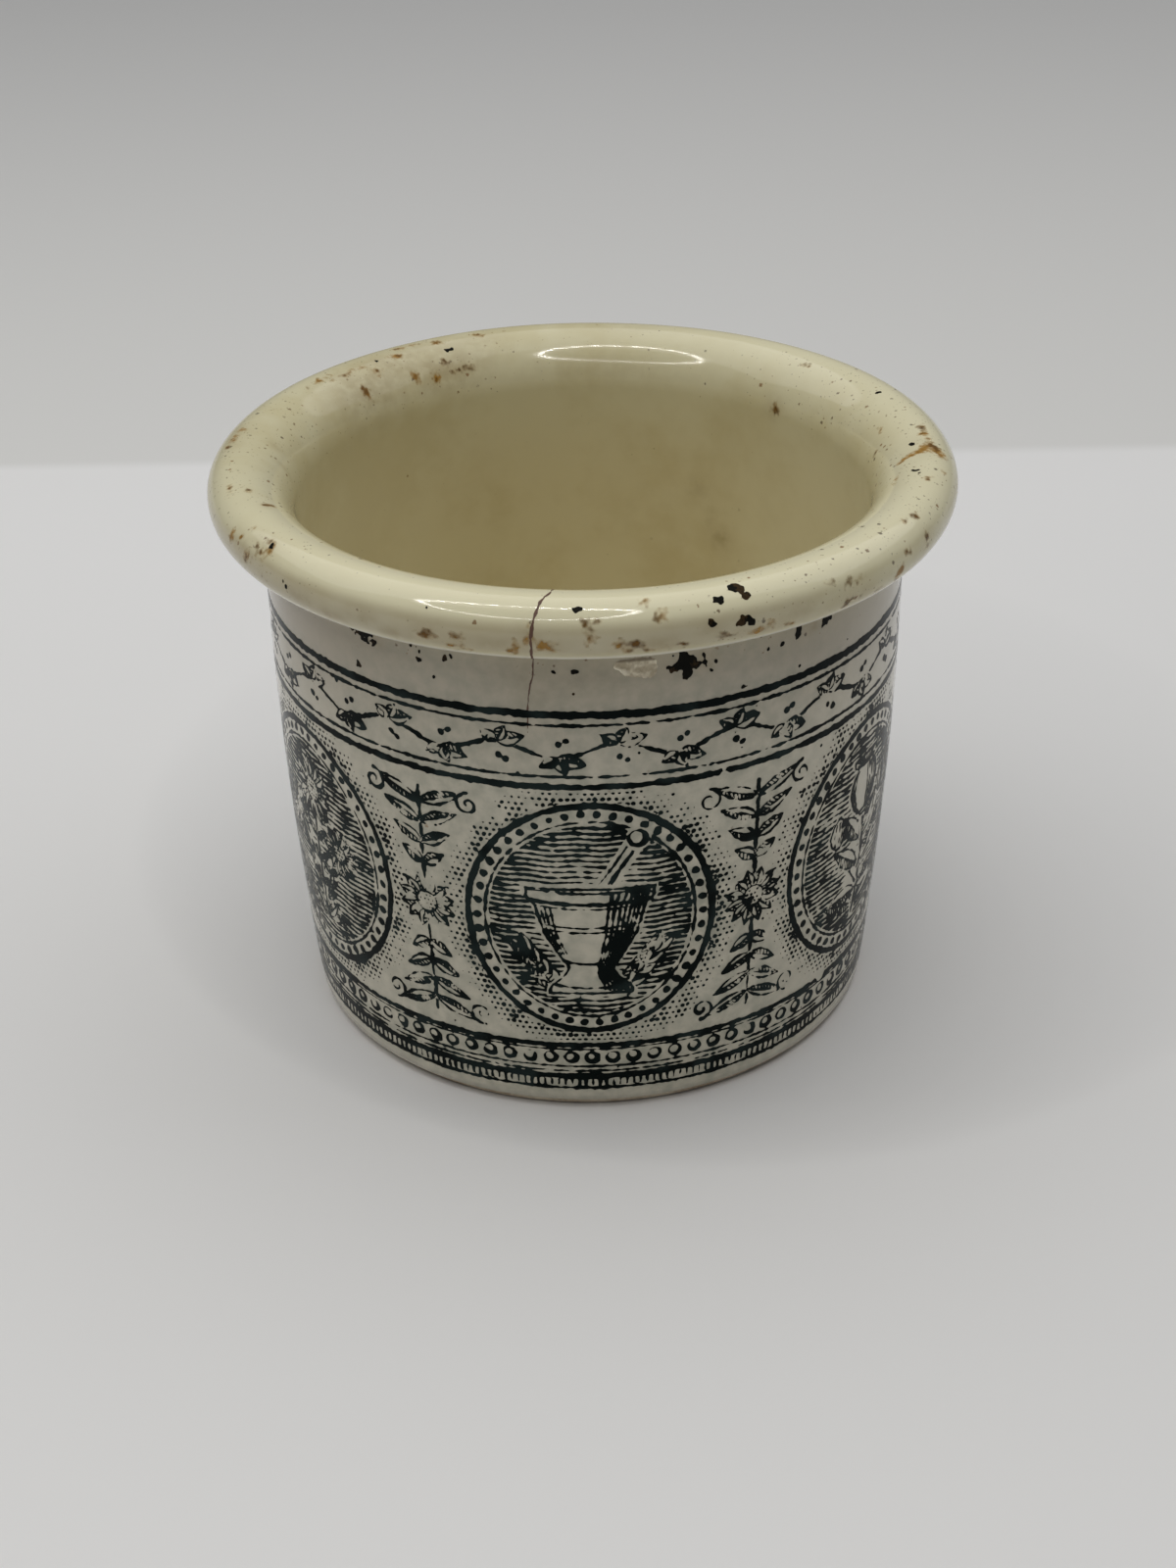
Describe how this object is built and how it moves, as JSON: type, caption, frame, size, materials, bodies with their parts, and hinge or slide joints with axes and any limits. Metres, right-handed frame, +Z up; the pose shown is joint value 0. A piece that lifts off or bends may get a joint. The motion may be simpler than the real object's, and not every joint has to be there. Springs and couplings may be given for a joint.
{
  "type": "ointment pot",
  "caption": "Small open ointment pot of glazed earthenware: a bowed wall on a bare foot ring, a rolled rim with a flat edge beneath for tying a cover, and a flared mouth.",
  "frame": {"origin": "centre of the foot ring, on the plane that the pot stands on", "axes": "+Z up along the pot's axis, -Y towards the viewer of the picture"},
  "size_m": [0.048, 0.048, 0.0385],
  "materials": {
    "biscuit": "matt fired clay, stained brown at the foot",
    "glaze": "glossy aged cream glaze over a blue-black print"
  },
  "bodies": {
    "root": {"earthenware_body": "biscuit", "glaze_coat": "glaze", "base_glaze": "glaze"}
  },
  "joints": []
}
